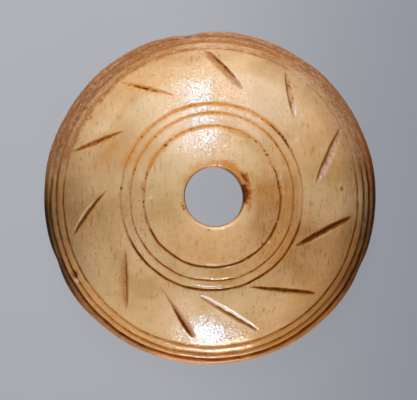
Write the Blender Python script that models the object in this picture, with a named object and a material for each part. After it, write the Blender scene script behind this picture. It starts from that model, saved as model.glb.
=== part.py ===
import math

import bmesh
import bpy
from mathutils import Vector

# A bone spindle whorl: a disc with a flat underside, a domed top and a bore for the spindle.
# Lengths are in metres. Bearings are in degrees from +X towards +Y. +Z points up the bore.

MM = 0.001

# The turned body
RIM_RADIUS = 16.65 * MM
CROWN_HEIGHT = 9.0 * MM        # where the dome's curve would cross the axis
SIDE_HEIGHT = 1.9 * MM         # where the dome's curve would meet the upright side
SHOULDER = 0.35 * MM           # how far in from the side the shoulder starts to round over
SHOULDER_DROP = 0.6 * MM       # how far down the side the shoulder ends
FOOT_ROUNDING = 0.7 * MM       # from the side to the flat underside
TURNS = 84                     # facets round the body

# The bore for the spindle, drilled a little off the middle
BORE_RADIUS = 2.92 * MM        # at its narrowest, under the lip
BORE_FLARE = 0.25 * MM         # how much wider it is at the underside
BORE_OFF_X = 0.21 * MM
BORE_OFF_Y = 0.01 * MM
LIP = 0.55 * MM                # rounding of the bore's upper edge
BORE_CHAMFER = 0.25 * MM       # at its lower edge

# Three rings cut round the bore: how far each lies outside the bore's wall, its width and its depth
RINGS = (
    {"out": 3.98 * MM, "width": 0.50 * MM, "depth": 0.20 * MM},
    {"out": 5.31 * MM, "width": 0.34 * MM, "depth": 0.14 * MM},
    {"out": 6.23 * MM, "width": 0.46 * MM, "depth": 0.19 * MM},
)

# Three grooves at the rim, with narrow beads between them: how far each lies inside the rim
RIM_GROOVES = (
    {"in": 1.82 * MM, "width": 0.36 * MM, "depth": 0.15 * MM},
    {"in": 1.10 * MM, "width": 0.36 * MM, "depth": 0.19 * MM},
    {"in": 0.54 * MM, "width": 0.32 * MM, "depth": 0.20 * MM},
)

# Nicks in the band between the rings and the rim grooves. Each is a straight stroke that leans:
# the bearing of its outer end, how far round its inner end lies behind that, the gaps that its
# ends keep to the rim groove and to the ring, and its strength as a share of the full cut.
NICK_WIDTH = 0.64 * MM
NICK_DEPTH = 0.30 * MM
NICKS = (
    {"bearing": 28.8, "sweep": 20.9, "out_gap": 0.05 * MM, "in_gap": 1.55 * MM, "strength": 1.00},
    {"bearing": 59.2, "sweep": 16.0, "out_gap": 0.12 * MM, "in_gap": 2.25 * MM, "strength": 1.05},
    {"bearing": 92.6, "sweep": 18.9, "out_gap": 0.15 * MM, "in_gap": 1.96 * MM, "strength": 1.00},
    {"bearing": 128.5, "sweep": 18.9, "out_gap": 0.37 * MM, "in_gap": 1.49 * MM, "strength": 0.70},
    {"bearing": 162.4, "sweep": 19.6, "out_gap": 0.23 * MM, "in_gap": 1.71 * MM, "strength": 0.75},
    {"bearing": 195.5, "sweep": 19.3, "out_gap": 0.50 * MM, "in_gap": 1.46 * MM, "strength": 0.85},
    {"bearing": 233.0, "sweep": 23.3, "out_gap": 1.02 * MM, "in_gap": 0.85 * MM, "strength": 0.80},
    {"bearing": 263.5, "sweep": 22.6, "out_gap": 0.93 * MM, "in_gap": 1.12 * MM, "strength": 0.95},
    {"bearing": 289.6, "sweep": 25.2, "out_gap": 1.02 * MM, "in_gap": 0.73 * MM, "strength": 1.05},
    {"bearing": 317.7, "sweep": 25.4, "out_gap": 0.72 * MM, "in_gap": 0.37 * MM, "strength": 1.00},
    {"bearing": 352.4, "sweep": 22.9, "out_gap": 0.52 * MM, "in_gap": 0.52 * MM, "strength": 1.00},
)

# What handwork and wear changed
CUTS_OVAL = 0.13 * MM          # rings and grooves run this much nearer the middle along X
CUTS_LOBES = 0.035 * MM        # and this much nearer at every quarter turn
RIM_OVAL = 0.045 * MM
RIM_LOBES = 0.050 * MM
EDGE_LOSSES = (                # chips and hollows in the rim; a negative depth is a swelling
    {"bearing": 97.5, "half": 3.6, "depth": 0.24 * MM},
    {"bearing": 148.0, "half": 8.0, "depth": 0.09 * MM},
    {"bearing": 202.5, "half": 4.5, "depth": 0.14 * MM},
    {"bearing": 335.0, "half": 4.0, "depth": 0.11 * MM},
    {"bearing": 83.0, "half": 6.0, "depth": -0.10 * MM},
    {"bearing": 216.0, "half": 8.0, "depth": -0.10 * MM},
    {"bearing": 5.0, "half": 14.0, "depth": -0.11 * MM},
    {"bearing": 40.0, "half": 30.0, "depth": -0.06 * MM},
    {"bearing": 168.0, "half": 8.0, "depth": -0.07 * MM},
    {"bearing": 198.0, "half": 22.0, "depth": 0.04 * MM},
    {"bearing": 105.0, "half": 4.0, "depth": 0.08 * MM},
)
WORN_ARCS = (                  # where the rim grooves are rubbed down, and by what share
    {"bearing": 44.0, "half": 20.0, "share": 0.75},
    {"bearing": 134.0, "half": 34.0, "share": 0.65},
)

BONE_COLOUR = (0.62, 0.39, 0.18, 1.0)
BONE_ROUGHNESS = 0.32

DOME_RISE = CROWN_HEIGHT - SIDE_HEIGHT
DOME_RADIUS = (RIM_RADIUS ** 2 + DOME_RISE ** 2) / (2 * DOME_RISE)
DOME_CENTRE = CROWN_HEIGHT - DOME_RADIUS
RING_RADII = [BORE_RADIUS + ring["out"] for ring in RINGS]
GROOVE_RADII = [RIM_RADIUS - groove["in"] for groove in RIM_GROOVES]


def smooth_step(low, high, value):
    share = min(max((value - low) / (high - low), 0.0), 1.0)
    return share * share * (3 - 2 * share)


def swell(bearing, centre, half):
    # one at the centre, fading to nothing over about twice the half width either side
    away = (bearing - centre + 180) % 360 - 180
    return math.exp(-(away / half) ** 2)


def dome_height(radius):
    return DOME_CENTRE + math.sqrt(DOME_RADIUS ** 2 - radius ** 2)


def under_dome(radius, depth):
    # the profile point at a depth measured square to the dome's curve
    share = 1 - depth / DOME_RADIUS
    return radius * share, DOME_CENTRE + (dome_height(radius) - DOME_CENTRE) * share


def corner_curve(start, corner, end, steps):
    # a rounded corner that leaves along start to corner and arrives along corner to end
    points = []
    for step in range(steps + 1):
        t = step / steps
        points.append(tuple(
            (1 - t) ** 2 * a + 2 * t * (1 - t) * b + t ** 2 * c
            for a, b, c in zip(start, corner, end)))
    return points


def dome_run(start, end, pieces):
    # points on the dome between two radii, without the two ends
    return [under_dome(start + (end - start) * k / pieces, 0.0) for k in range(1, pieces)]


def groove_section(radius, width, depth):
    # two edges on the dome and a narrow floor between them
    floor = 0.18 * width
    return [
        under_dome(radius - width / 2, 0.0),
        under_dome(radius - floor, depth),
        under_dome(radius + floor, depth),
        under_dome(radius + width / 2, 0.0),
    ]


def body_profile():
    # radius and height, up the bore, out over the dome, down the side and under the foot
    lip_edge = BORE_RADIUS + LIP
    lip_top = dome_height(lip_edge)
    foot_radius = BORE_RADIUS + BORE_FLARE
    points = [(foot_radius + BORE_CHAMFER, 0.0), (foot_radius, BORE_CHAMFER)]
    points += corner_curve((BORE_RADIUS, lip_top - LIP), (BORE_RADIUS, lip_top), (lip_edge, lip_top), 4)
    last = lip_edge
    cuts = list(zip(RING_RADII, RINGS, (3, 1, 1)))
    cuts += list(zip(GROOVE_RADII, RIM_GROOVES, (5, 2, 2)))
    for radius, cut, pieces in cuts:
        points += dome_run(last, radius - cut["width"] / 2, pieces)
        points += groove_section(radius, cut["width"], cut["depth"])
        last = radius + cut["width"] / 2
    shoulder_edge = max(RIM_RADIUS - SHOULDER, last)
    points += corner_curve(
        (shoulder_edge, dome_height(shoulder_edge)), (RIM_RADIUS, SIDE_HEIGHT),
        (RIM_RADIUS, SIDE_HEIGHT - SHOULDER_DROP), 4)
    points += corner_curve(
        (RIM_RADIUS, FOOT_ROUNDING), (RIM_RADIUS, 0.0), (RIM_RADIUS - FOOT_ROUNDING, 0.0), 3)
    return points


def cut_pull(bearing):
    # how much nearer the middle a ring or a groove runs at a bearing
    turn = math.radians(bearing)
    return CUTS_OVAL * math.cos(2 * turn) + CUTS_LOBES * math.cos(4 * turn)


def rim_pull(bearing):
    turn = math.radians(bearing)
    lost = sum(loss["depth"] * swell(bearing, loss["bearing"], loss["half"]) for loss in EDGE_LOSSES)
    return RIM_OVAL * math.cos(2 * turn) + RIM_LOBES * math.cos(4 * turn) + lost


def groove_left(bearing):
    # the share of a rim groove's depth that wear has left
    left = 1.0
    for arc in WORN_ARCS:
        left -= arc["share"] * swell(bearing, arc["bearing"], arc["half"])
    return left


def hand_worked(point):
    # a point of the turned body, moved to where handwork and wear left it
    radius = math.hypot(point.x, point.y)
    bearing = math.degrees(math.atan2(point.y, point.x))
    height = point.z

    first_groove = GROOVE_RADII[0] - RIM_GROOVES[0]["width"]
    last_groove = GROOVE_RADII[-1] + RIM_GROOVES[-1]["width"] / 2
    reach = math.hypot(radius, height - DOME_CENTRE)
    if first_groove < radius < last_groove and height > SIDE_HEIGHT and reach < DOME_RADIUS:
        share = (DOME_RADIUS - (DOME_RADIUS - reach) * groove_left(bearing)) / reach
        radius *= share
        height = DOME_CENTRE + (height - DOME_CENTRE) * share

    spread = smooth_step(BORE_RADIUS + LIP, RING_RADII[0] - RINGS[0]["width"], radius)
    on_top = height > SIDE_HEIGHT - SHOULDER_DROP
    at_rim = smooth_step(last_groove, RIM_RADIUS, radius) if on_top else spread
    pull = spread * (cut_pull(bearing) * (1 - at_rim) + rim_pull(bearing) * at_rim)
    away = Vector((point.x, point.y)).normalized() * (radius - pull)
    away += Vector((BORE_OFF_X, BORE_OFF_Y)) * (1 - spread)

    # the top follows the dome as it slides, the side less and the underside not at all
    follow = min(height / SIDE_HEIGHT, 1.0)
    height += (dome_height(away.length) - dome_height(radius)) * follow
    return Vector((away.x, away.y, height))


def turned_body(name):
    mesh = bpy.data.meshes.new(name)
    grid = bmesh.new()
    profile = [grid.verts.new((radius, 0.0, height)) for radius, height in body_profile()]
    edges = [grid.edges.new((a, b)) for a, b in zip(profile, profile[1:] + profile[:1])]
    bmesh.ops.spin(
        grid, geom=profile + edges, cent=(0, 0, 0), axis=(0, 0, 1),
        angle=math.tau, steps=TURNS, use_merge=True)
    for vert in grid.verts:
        vert.co = hand_worked(vert.co)
    bmesh.ops.recalc_face_normals(grid, faces=grid.faces)
    grid.to_mesh(mesh)
    grid.free()
    body = bpy.data.objects.new(name, mesh)
    bpy.context.collection.objects.link(body)
    return body


def on_dome(radius, bearing):
    turn = math.radians(bearing)
    return Vector((radius * math.cos(turn), radius * math.sin(turn), dome_height(radius)))


def nick_cutter(grid, nick):
    # a wedge along a straight stroke: its keel dips below the dome and rises out of it at both ends
    stations = 11
    clear = 0.3 * MM               # how far the wedge stands above the dome
    end_lift = 0.03 * MM           # how far the keel is out of the dome at the ends
    inner_bearing = nick["bearing"] - nick["sweep"]
    outer = on_dome(GROOVE_RADII[0] - cut_pull(nick["bearing"]) - nick["out_gap"], nick["bearing"])
    inner = on_dome(RING_RADII[-1] - cut_pull(inner_bearing) + nick["in_gap"], inner_bearing)
    along = (outer - inner).normalized()
    depth = NICK_DEPTH * nick["strength"]
    flare = NICK_WIDTH / NICK_DEPTH / 2
    rows = []
    for station in range(stations):
        t = 2 * station / (stations - 1) - 1
        plan = inner.lerp(outer, (t + 1) / 2)
        foot = Vector((plan.x, plan.y, dome_height(math.hypot(plan.x, plan.y))))
        up = (foot - Vector((0, 0, DOME_CENTRE))).normalized()
        side = along.cross(up).normalized()
        keel = end_lift - (depth + end_lift) * (1 - t * t)
        half = flare * (clear - keel)
        rows.append([
            grid.verts.new(foot + up * keel),
            grid.verts.new(foot + up * clear + side * half),
            grid.verts.new(foot + up * clear - side * half)])
    for row, after in zip(rows, rows[1:]):
        for k in range(3):
            grid.faces.new((row[k], row[(k + 1) % 3], after[(k + 1) % 3], after[k]))
    grid.faces.new(rows[0])
    grid.faces.new(rows[-1])


def nick_cutters(name):
    mesh = bpy.data.meshes.new(name)
    grid = bmesh.new()
    for nick in NICKS:
        nick_cutter(grid, nick)
    bmesh.ops.recalc_face_normals(grid, faces=grid.faces)
    grid.to_mesh(mesh)
    grid.free()
    cutter = bpy.data.objects.new(name, mesh)
    bpy.context.collection.objects.link(cutter)
    cutter.hide_render = True
    cutter.display_type = "WIRE"
    return cutter


def bone():
    material = bpy.data.materials.new("bone")
    material.use_nodes = True
    shader = material.node_tree.nodes["Principled BSDF"]
    shader.inputs["Base Color"].default_value = BONE_COLOUR
    shader.inputs["Roughness"].default_value = BONE_ROUGHNESS
    shader.inputs["Metallic"].default_value = 0.0
    return material


def main():
    for item in list(bpy.data.objects):
        bpy.data.objects.remove(item, do_unlink=True)
    whorl = turned_body("whorl")
    whorl.data.materials.append(bone())
    cut = whorl.modifiers.new("nicks", "BOOLEAN")
    cut.operation = "DIFFERENCE"
    cut.solver = "EXACT"
    cut.object = nick_cutters("nick_cutters")
    whorl.data.shade_smooth()
    whorl.data.set_sharp_from_angle(angle=math.radians(35))


main()
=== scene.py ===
import math
import bpy
import numpy as np
from mathutils import Matrix, Vector


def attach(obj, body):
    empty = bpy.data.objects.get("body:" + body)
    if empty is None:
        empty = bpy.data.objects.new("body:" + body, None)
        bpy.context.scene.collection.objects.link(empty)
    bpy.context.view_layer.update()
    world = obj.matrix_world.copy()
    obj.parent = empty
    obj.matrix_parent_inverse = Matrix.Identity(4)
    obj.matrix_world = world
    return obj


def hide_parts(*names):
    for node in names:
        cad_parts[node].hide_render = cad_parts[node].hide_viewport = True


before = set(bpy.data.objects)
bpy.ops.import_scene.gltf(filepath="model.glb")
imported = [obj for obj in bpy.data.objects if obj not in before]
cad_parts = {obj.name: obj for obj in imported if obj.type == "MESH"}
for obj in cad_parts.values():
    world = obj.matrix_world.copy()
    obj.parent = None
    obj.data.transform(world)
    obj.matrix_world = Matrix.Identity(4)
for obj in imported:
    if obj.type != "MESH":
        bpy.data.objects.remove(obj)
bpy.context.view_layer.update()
print("frame loaded, nodes:", sorted(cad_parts))

mm = 0.001  # shapes are worked out in millimetres; bearings are degrees from +X towards +Y


def smoothStep(low, high, value):
    # 0 below low, 1 above high, the cubic 3s^2 - 2s^3 between them
    share = np.clip((value - low) / (high - low), 0, 1)
    return share * share * (3 - 2 * share)


def hump(value, centre, half):
    # a bell along a line: e to the minus (distance from the centre / half) squared
    return np.exp(-((value - centre) / half) ** 2)


def swell(bearing, centre, half):
    # the same bell round the circle, with the angle wrapped
    return hump((bearing - centre + 180) % 360 - 180, 0, half)


def arcShare(bearing, start, end, fade):
    # 1 between two bearings, easing to 0 over fade degrees outside them
    middle = (start + end) / 2
    away = np.abs((bearing - middle + 180) % 360 - 180)
    return 1 - smoothStep((end - start) / 2, (end - start) / 2 + fade, away)


def arcLevel(bearing, arcs):
    # the highest of several (level, start, end, fade) arcs at a bearing
    return np.max([level * arcShare(bearing, start, end, fade) for level, start, end, fade in arcs], axis=0)


def ripple(points, size, seed, waves=28):
    # even mottling of spread 1: a sum of cosines that run in seeded directions,
    # each wave 0.6 to 1.7 times as long as size
    dice = np.random.default_rng(seed)
    runs = dice.normal(size=(waves, 3))
    runs /= np.linalg.norm(runs, axis=1, keepdims=True)
    runs *= 2 * math.pi / (size * dice.uniform(0.6, 1.7, (waves, 1)))
    phases = dice.uniform(0, 2 * math.pi, waves)
    return np.cos(points @ runs.T + phases).sum(-1) * math.sqrt(2 / waves)


def cornerBend(start, corner, end, rows):
    # a rounded corner, the quadratic (1-t)^2 a + 2t(1-t) b + t^2 c, without its last point
    t = np.arange(rows)[:, None] / rows
    start, corner, end = np.array(start), np.array(corner), np.array(end)
    return (1 - t) ** 2 * start + 2 * t * (1 - t) * corner + t ** 2 * end


def straightRun(start, end, rows):
    # evenly spaced points from start towards end, without the last one
    t = np.arange(rows)[:, None] / rows
    return np.array(start) * (1 - t) + np.array(end) * t


def closedGrid(name, points, marks):
    # a grid that closes both ways round, as on a ring: quads join each row to the next
    rows, columns = points.shape[:2]
    index = np.arange(rows * columns).reshape(rows, columns)
    below = np.roll(index, -1, axis=0)
    quads = np.stack([index, below, np.roll(below, -1, axis=1), np.roll(index, -1, axis=1)], -1)
    quads = quads.reshape(-1, 4)
    mesh = bpy.data.meshes.new(name)
    mesh.vertices.add(rows * columns)
    mesh.vertices.foreach_set("co", (points * mm).astype(np.float32).ravel())
    mesh.loops.add(quads.size)
    mesh.loops.foreach_set("vertex_index", quads.astype(np.int32).ravel())
    mesh.polygons.add(len(quads))
    mesh.polygons.foreach_set("loop_start", np.arange(0, quads.size, 4, dtype=np.int32))
    mesh.update(calc_edges=True)
    mesh.validate()
    for mark, values in marks.items():
        layer = mesh.attributes.new(mark, "FLOAT", "POINT")
        layer.data.foreach_set("value", np.clip(values, 0, 1).astype(np.float32).ravel())
    mesh.shade_smooth()
    piece = bpy.data.objects.new(name, mesh)
    bpy.context.collection.objects.link(piece)
    return piece


# the turned and drilled disc, before any cut
disc = {
    "rim": 16.65, "crown": 9.0, "side": 1.9,
    "shoulder": 0.35, "shoulderDrop": 0.6, "foot": 0.7,
    "bore": 2.92, "boreFlare": 0.25, "boreOff": (0.21, 0.01), "lip": 0.55, "bevel": 0.25,
    "cutsOval": 0.13, "cutsLobes": 0.035, "rimOval": 0.045, "rimLobes": 0.050,
}
domeRise = disc["crown"] - disc["side"]
domeRadius = (disc["rim"] ** 2 + domeRise ** 2) / (2 * domeRise)
domeCentre = disc["crown"] - domeRadius

# rings round the bore, from the inside out. brown, ochre and rose list (level, start, end, fade) arcs of
# dirt, stain and pinkish wear, line is the half width of the dirt, and shoulder is how far the inner edge
# is worn down (mm)
rings = [
    {"radius": 6.90, "width": 0.46, "depth": 0.17, "line": 0.135, "shoulder": 0.045,
     "brown": [(0.80, 212, 338, 14), (0.42, 196, 384, 12), (0.66, -22, 22, 8), (0.17, 60, 160, 14)],
     "ochre": [(0.92, 62, 158, 14), (0.80, 222, 330, 14), (0.45, 30, 60, 8)],
     "rose": [(0.36, 150, 215, 15)]},
    {"radius": 8.23, "width": 0.40, "depth": 0.13, "line": 0.100, "shoulder": 0.015,
     "brown": [(0.62, 218, 335, 14), (0.34, 196, 350, 12), (0.30, 0, 45, 12), (0.15, 50, 160, 14)],
     "ochre": [(0.88, 30, 160, 14), (0.72, 222, 330, 14)],
     "rose": [(0.36, 155, 215, 15), (0.30, -20, 25, 12)]},
    {"radius": 9.15, "width": 0.46, "depth": 0.17, "line": 0.125, "shoulder": 0.040,
     "brown": [(0.90, 212, 340, 10), (0.40, 200, 348, 10), (0.70, 35, 49, 5), (0.25, 10, 60, 10),
               (0.17, 60, 160, 14)],
     "ochre": [(0.92, 48, 156, 14), (0.80, 222, 325, 14)],
     "rose": [(0.34, 155, 212, 15), (0.20, -20, 30, 12)]},
]

# grooves at the rim, from the inside out; beads stand between them. line is the half width of their dirt
rimGrooves = [
    {"radius": 14.83, "width": 0.50, "depth": 0.12, "line": 0.095,
     "brown": [(0.45, 215, 300, 14), (0.76, 176, 212, 8), (0.70, 300, 366, 10), (0.95, 312, 350, 10),
               (0.35, 4, 45, 10), (0.36, 62, 104, 12), (0.24, 100, 165, 12)],
     "ochre": [(0.90, 215, 325, 15), (0.50, 72, 160, 12), (0.20, 160, 215, 10), (0.15, 325, 370, 10)]},
    {"radius": 15.55, "width": 0.50, "depth": 0.18, "line": 0.10,
     "brown": [(0.46, 215, 280, 14), (0.85, 170, 212, 6), (0.60, 290, 335, 10), (0.85, 335, 368, 10),
               (0.36, 66, 165, 12)],
     "ochre": [(0.90, 215, 325, 15), (0.45, 70, 120, 15), (0.10, 325, 370, 10)]},
    {"radius": 16.11, "width": 0.46, "depth": 0.21, "line": 0.13,
     "brown": [(0.86, 210, 244, 8), (0.60, 240, 284, 8), (0.86, 286, 316, 8), (0.90, 176, 206, 8),
               (1.10, 318, 368, 8), (0.30, 66, 165, 12)],
     "ochre": [(1.00, 206, 335, 15)]},
]

# chips and hollows of the edge: bearing, half width and depth in mm; a negative depth is a swelling
edgeLosses = [
    (97.5, 3.6, 0.24), (148.0, 8.0, 0.09), (202.5, 4.5, 0.14), (335.0, 4.0, 0.11), (83.0, 6.0, -0.10),
    (216.0, 8.0, -0.10), (5.0, 14.0, -0.11), (40.0, 30.0, -0.06), (168.0, 8.0, -0.07),
    (198.0, 22.0, 0.04), (105.0, 4.0, 0.08),
]

# where the hand-cut rings and grooves stray outwards: bearing, half width and how far in mm
cutDrifts = [(205.0, 25.0, 0.05), (342.0, 30.0, 0.09), (125.0, 24.0, -0.09)]

# slanting nicks, one in each column of the table. Across a stroke + is its clockwise side; keel is where
# its deepest line runs (-1 to 1) and bow bends it (mm). Along it 0 is the inner end; widest and full give
# its outline. A dark line that wide browns the keel: dirt, and painted shade on the shaded wall. The light
# wall lightens the side of its sign with clean bone and a painted highlight (edge: a narrower part of it).
# Each goes over a run; floor, ochre and rust tint it all, speckle scatters crumbs of dirt over it and dots
# breaks up its dirt
nickTable = {
    "bearing": (28.3, 59.2, 92.6, 128.5, 161.9, 195.5, 233.0, 263.1, 289.3, 317.7, 352.4),
    "sweep": (20.9, 16.0, 18.9, 18.9, 19.6, 19.3, 23.3, 22.6, 25.2, 25.4, 22.9),
    "outer": (14.80, 14.74, 14.78, 14.47, 14.43, 14.20, 13.95, 13.98, 13.90, 14.12, 14.15),
    "inner": (10.45, 11.33, 11.10, 10.60, 10.75, 10.35, 9.80, 10.15, 9.88, 9.60, 9.60),
    "width": (0.82, 0.76, 0.86, 0.56, 0.56, 0.66, 0.84, 0.72, 0.62, 0.68, 0.80),
    "depth": (0.19, 0.18, 0.20, 0.11, 0.17, 0.23, 0.10, 0.22, 0.24, 0.21, 0.26),
    "keel": (-0.55, -0.50, 0.62, 0.10, 0.10, 0.00, -0.45, 0.60, 0.35, -0.05, 0.00),
    "bow": (0.03, 0.00, 0.04, 0.06, 0.00, 0.20, 0.15, 0.00, 0.0, 0.0, 0.0),
    "widest": (0.46, 0.50, 0.50, 0.55, 0.55, 0.56, 0.58, 0.78, 0.50, 0.64, 0.52),
    "full": (0.50, 0.45, 0.40, 0.40, 0.45, 0.50, 0.60, 0.34, 0.24, 0.36, 0.50),
    "dirtAndShade": (0.66, 0.50, 1.00, 1.2, 0.52, 0.85, 0.66, 1.15, 0.62, 1.0, 1.35),
    "line": (0.115, 0.10, 0.075, 0.095, 0.20, 0.175, 0.09, 0.14, 0.105, 0.215, 0.285),
    "dirtAndShadeRun": ((0.10, 1.0), (0.15, 0.95), (0.32, 0.76), (0.38, 0.74), (0.08, 1.0), (0.10, 1.0),
        (-0.02, 1.05), (0.45, 0.92), (0.22, 1.0), (-0.05, 1.0), (0.02, 1.0)),
    "wall": (0.60, 0.95, 1.00, 0.0, 0.0, 0.55, 0.0, -0.22, -1.0, 0.0, 0.30),
    "wallRun": ((0.02, 0.80), (-0.10, 0.24), (-0.05, 0.28), (0.0, 1.0), (0.0, 1.0), (0.30, 1.0),
        (0.0, 1.0), (-0.05, 1.05), (-0.1, 1.1), (0.0, 1.0), (0.20, 0.60)),
    "floor": (0.85, 0.60, 0.72, 0.10, 0.35, 0.30, 0.62, 0.85, 0.25, 0.40, 0.60),
    "ochre": (0.10, 0.15, 0.28, 1.0, 0.80, 0.20, 0.10, 0.20, 0.55, 0.60, 0.20),
    "speckle": (0.80, 1.0, 0.90, 0.9, 1.1, 0.10, 0.70, 0.15, 0.10, 0.25, 0.0),
    "rust": (0.15, 0.15, 0.08, 0, 0, 0, 0.12, 0.55, 0, 0, 0),
    "dots": (0, 0, 0.45, 0.40, 0.30, 0, 0, 0, 0, 0, 0),
}
nicks = [dict(zip(nickTable, column)) for column in zip(*nickTable.values())]
# the sixth nick's light wall, a painted highlight, is a thin line
nicks[5]["edge"] = (0.84, 0.17)  # its light wall is a thin line

# single spots: dark pits, orange and pale marks. Each is (bearing, distance from the middle, half width,
# level, depth in mm, how much longer it is along Y)
spots = {
    "grimeAndShade": [(132.0, 6.81, 0.13, 1.2, 0.06, 1), (139.6, 9.07, 0.12, 0.85, 0.03, 1),
        (160.8, 8.07, 0.10, 0.8, 0.02, 1), (133.3, 8.15, 0.09, 0.7, 0.02, 1),
        (46.5, 9.18, 0.10, 1.0, 0.02, 1), (43.2, 9.20, 0.12, 1.2, 0.03, 1),
        (40.4, 9.22, 0.12, 1.2, 0.03, 1), (37.4, 9.17, 0.11, 1.1, 0.02, 1),
        (57.0, 9.16, 0.09, 0.7, 0.02, 1), (8.0, 6.80, 0.13, 0.8, 0.02, 1),
        (22.0, 6.72, 0.10, 0.8, 0.02, 1), (36.5, 6.95, 0.09, 0.6, 0.02, 1),
        (147.8, 14.58, 0.16, 0.6, 0, 1), (150.0, 14.62, 0.14, 0.55, 0, 1),
        (144.2, 14.62, 0.12, 0.5, 0, 1), (354.5, 6.47, 0.10, 0.9, 0.04, 1),
        (12.8, 6.76, 0.10, 0.9, 0.03, 1), (29.4, 6.56, 0.09, 0.7, 0.03, 1),
        (317.1, 6.80, 0.12, 1.0, 0.03, 1), (304.5, 6.92, 0.11, 0.9, 0.02, 1),
        (209.1, 15.52, 0.26, 1.4, 0.20, 1), (210.2, 15.56, 0.16, 1.4, 0.12, 1),
        (3.8, 13.02, 0.20, 0.85, 0.02, 1), (138.6, 13.08, 0.15, 0.50, 0, 1),
        (146.3, 14.30, 0.20, 0.55, 0, 1), (163.6, 13.44, 0.14, 0.60, 0, 1),
        (204.2, 12.10, 0.12, 0.50, 0, 1), (218.8, 4.00, 0.13, 0.40, 0, 1),
        (200.0, 3.86, 0.20, 0.35, 0, 1), (263.5, 3.30, 0.13, 0.50, 0, 1), (203.0, 3.06, 0.18, 0.70, 0, 1),
        (197.5, 3.04, 0.16, 0.60, 0, 1), (170.3, 15.45, 0.26, 0.55, 0, 1),
        (168.6, 15.72, 0.22, 0.45, 0, 1), (30.2, 13.45, 0.08, 0.50, 0.01, 2.6),
        (19.9, 14.20, 0.08, 0.50, 0.01, 2.2), (14.8, 13.90, 0.08, 0.45, 0.01, 2.4),
        (11.2, 14.30, 0.09, 0.50, 0.01, 2.0), (8.3, 13.98, 0.08, 0.50, 0.01, 2.4),
        (6.3, 11.85, 0.07, 0.45, 0.01, 2.6), (0.2, 13.50, 0.08, 0.50, 0.01, 2.4)],
    "ochre": [(252.0, 7.55, 0.22, 0.50, 0, 1), (258.0, 7.40, 0.10, 0.60, 0, 1),
        (276.0, 7.62, 0.16, 0.60, 0, 1), (277.5, 7.35, 0.10, 0.55, 0, 1), (284.0, 7.50, 0.10, 0.50, 0, 1),
        (264.0, 7.45, 0.09, 0.55, 0, 1), (139.4, 12.03, 0.22, 0.8, 0, 1),
        (153.5, 10.91, 0.65, 0.55, 0, 1), (161.9, 11.11, 0.50, 0.40, 0, 1),
        (11.1, 13.07, 0.40, 0.35, 0, 1), (270.7, 7.50, 0.35, 0.30, 0, 1)],
    "paleAndGlint": [(211.8, 15.64, 0.17, 1.8, 0, 1), (180.9, 6.00, 0.13, 1.0, 0.05, 1),
        (339.1, 6.85, 0.10, 0.8, 0, 1), (321.5, 7.17, 0.10, 0.8, 0, 1), (33.0, 10.10, 0.30, 0.40, 0, 1)],
}

# soft areas of stain, painted shade and darker bone, fair bone and painted sheen, and pale bone and painted
# sheen: each has (centre, half width) round the disc, where it starts and ends outwards, and its level
blushes = {
    "ochre": [((264, 48), (3.3, 6.7), 0.32), ((6, 20), (4.0, 8.8), 0.28), ((318, 34), (6.9, 9.0), 0.22),
        ((120, 22), (12.2, 14.6), 0.24), ((28, 17), (6.9, 14.2), 0.24), ((312, 22), (12.4, 14.8), 0.24),
        ((228, 18), (12.2, 14.7), 0.09), ((142, 14), (13.6, 15.0), 0.22), ((276, 56), (2.6, 4.4), 0.16),
        ((30, 16), (4.0, 6.7), 0.14), ((243, 17), (9.3, 14.5), 0.12), ((153, 18), (6.9, 12.3), 0.13)],
    "shadeAndDarkBone": [((6, 20), (4.0, 8.8), 0.28), ((338, 20), (13.4, 15.4), 0.40),
        ((91, 13), (13.5, 14.7), 0.60), ((205, 26), (6.9, 9.0), 0.14), ((142, 14), (13.6, 15.0), 0.25),
        ((326, 20), (6.9, 9.0), 0.14), ((180, 20), (9.5, 11.5), 0.12), ((28, 16), (13.3, 15.0), 0.22),
        ((0, 20), (3.6, 6.4), 0.36), ((153, 18), (6.9, 12.3), 0.10)],
    "fairBoneAndSheen": [((120, 22), (4.0, 12.0), 0.80), ((168, 22), (4.0, 6.6), 0.30), ((63, 17), (6.9, 12.8), 0.80),
        ((228, 18), (12.2, 14.7), 0.28), ((150, 16), (12.6, 14.3), 0.25), ((276, 56), (2.6, 4.4), 1.0),
        ((122, 45), (2.6, 4.8), 0.45)],
    "paleAndGlint": [((120, 22), (4.0, 12.0), 0.07), ((63, 17), (6.9, 12.8), 0.15)],
}

# how the grid is laid over the disc: columns at and between the nicks, rows over each ring and outside
# it, and rows of the other parts; ringReach is how far from a ring's middle its close rows go (mm)
weave = {
    "nickColumns": 12, "fieldColumns": 34, "nickHalf": 2.2, "lipRows": 15, "ringRows": (12, 9, 11),
    "gapRows": (6, 4, 47), "ringReach": (0.30, 0.22, 0.27), "rimRows": 33, "rimReach": 0.25,
    "bevelRows": 2, "boreRows": 12, "lipBendRows": 8, "shoulderRows": 9, "sideRows": 4, "footRows": 6,
    "underRows": 12,
}


def domeHeight(radius):
    # the dome is a slice of a sphere
    return domeCentre + np.sqrt(domeRadius ** 2 - radius ** 2)


def cutPull(bearing):
    # how much nearer the middle the hand-cut rings and grooves run at a bearing
    turn = np.radians(bearing)
    pull = disc["cutsOval"] * np.cos(2 * turn) + disc["cutsLobes"] * np.cos(4 * turn)
    for centre, half, drift in cutDrifts:
        pull = pull - drift * swell(bearing, centre, half)
    return pull


def rimPull(bearing):
    # the same for the disc's own edge, with its chips
    turn = np.radians(bearing)
    pull = disc["rimOval"] * np.cos(2 * turn) + disc["rimLobes"] * np.cos(4 * turn)
    for centre, half, depth in edgeLosses:
        pull = pull + depth * swell(bearing, centre, half)
    return pull


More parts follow.
